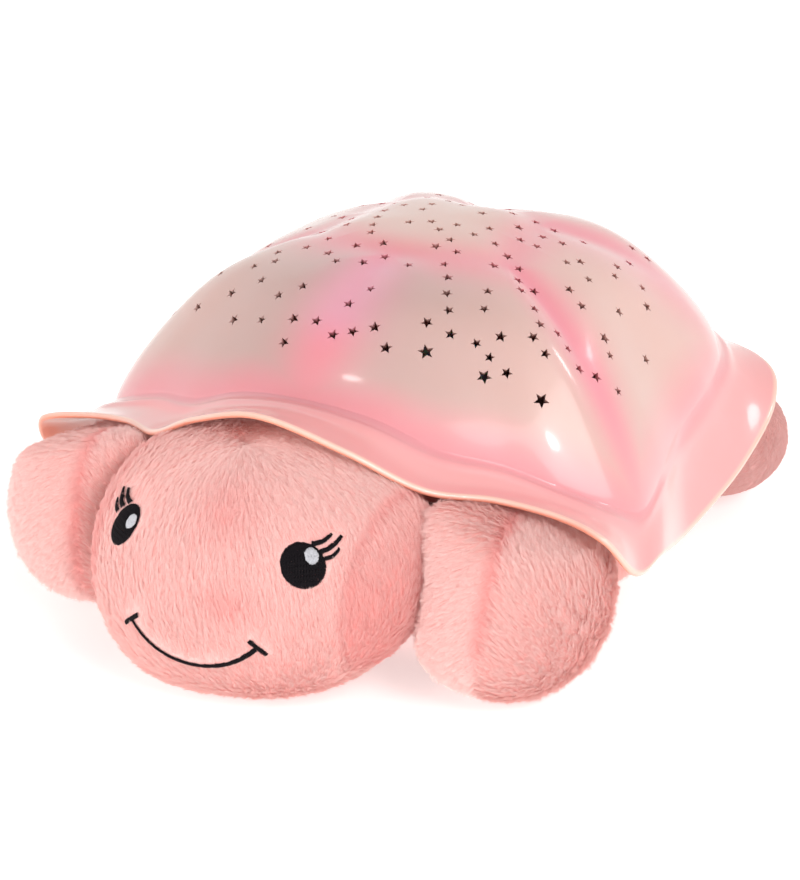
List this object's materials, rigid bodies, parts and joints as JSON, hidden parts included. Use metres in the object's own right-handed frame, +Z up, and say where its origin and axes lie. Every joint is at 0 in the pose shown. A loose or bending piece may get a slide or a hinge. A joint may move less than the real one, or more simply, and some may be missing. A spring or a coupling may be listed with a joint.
{
  "type": "star night light projector",
  "caption": "Plush turtle night light: a pierced, lobed plastic shell over a lamp unit throws stars on the ceiling; press buttons on its rear slope.",
  "frame": {"origin": "on the floor under the middle of the turtle, halfway from the nose to the ends of the rear flippers", "axes": "+X to the turtle's left, +Y towards its tail (it looks along -Y), +Z up"},
  "size_m": [0.234, 0.2885, 0.1274],
  "materials": {
    "shell": "gloss, pearl cream with airbrushed pink furrows and brim",
    "plush": "short pile plush",
    "thread_black": "satin embroidery",
    "thread_grey": "satin embroidery",
    "plate": "fine moulded texture",
    "screw": "zinc plated",
    "diffuser": "frosted",
    "board": "solder mask",
    "lamp_blue": "tinted epoxy",
    "lamp_green": "tinted epoxy",
    "lamp_amber": "tinted epoxy",
    "switch": "moulded",
    "button_pink": "gloss",
    "button_blue": "gloss",
    "button_green": "gloss",
    "button_amber": "gloss",
    "cell": "printed sleeve, no print",
    "contact": "nickel plated",
    "lead_red": "insulation",
    "lead_blue": "insulation"
  },
  "bodies": {
    "turtle": {"shell": "shell", "base_plate": "plate", "shell_screws": "screw", "light_dome": "diffuser", "lamp_board": "board", "lamp_board_screws": "screw", "blue_lamp": "lamp_blue", "green_lamp": "lamp_green", "amber_lamp": "lamp_amber", "lamp_pins": "contact", "switch_bracket": "plate", "switch_board": "board", "switch_board_screws": "screw", "switches": "switch", "timer_chip": "switch", "cells": "cell", "cell_springs": "contact", "cell_plates": "contact", "battery_lead": "lead_red", "lamp_lead": "lead_blue", "torso": "plush", "head": "plush", "front_left_flipper": "plush", "front_right_flipper": "plush", "rear_left_flipper": "plush", "rear_right_flipper": "plush", "left_eye": "thread_black", "right_eye": "thread_black", "left_eye_glint": "thread_grey", "right_eye_glint": "thread_grey", "left_lashes": "thread_black", "right_lashes": "thread_black", "mouth": "thread_black"},
    "power": {"power_button": "button_pink"},
    "blue": {"blue_button": "button_blue"},
    "green": {"green_button": "button_green"},
    "amber": {"amber_button": "button_amber"},
    "door": {"battery_door": "plate", "door_screw": "screw"}
  },
  "joints": [
    {"name": "power_press", "type": "slide", "parent": "turtle", "child": "power", "axis": [0, -0.6428, -0.766], "range_m": [0, 0.0008], "stiffness_N_per_m": 900, "springref_m": -0.0012},
    {"name": "blue_press", "type": "slide", "parent": "turtle", "child": "blue", "axis": [0, -0.6428, -0.766], "range_m": [0, 0.0008], "stiffness_N_per_m": 900, "springref_m": -0.0012},
    {"name": "green_press", "type": "slide", "parent": "turtle", "child": "green", "axis": [0, -0.6428, -0.766], "range_m": [0, 0.0008], "stiffness_N_per_m": 900, "springref_m": -0.0012},
    {"name": "amber_press", "type": "slide", "parent": "turtle", "child": "amber", "axis": [0, -0.6428, -0.766], "range_m": [0, 0.0008], "stiffness_N_per_m": 900, "springref_m": -0.0012},
    {"name": "door_lift", "type": "slide", "parent": "turtle", "child": "door", "axis": [0, 0, -1], "range_m": [0, 0.012]}
  ]
}
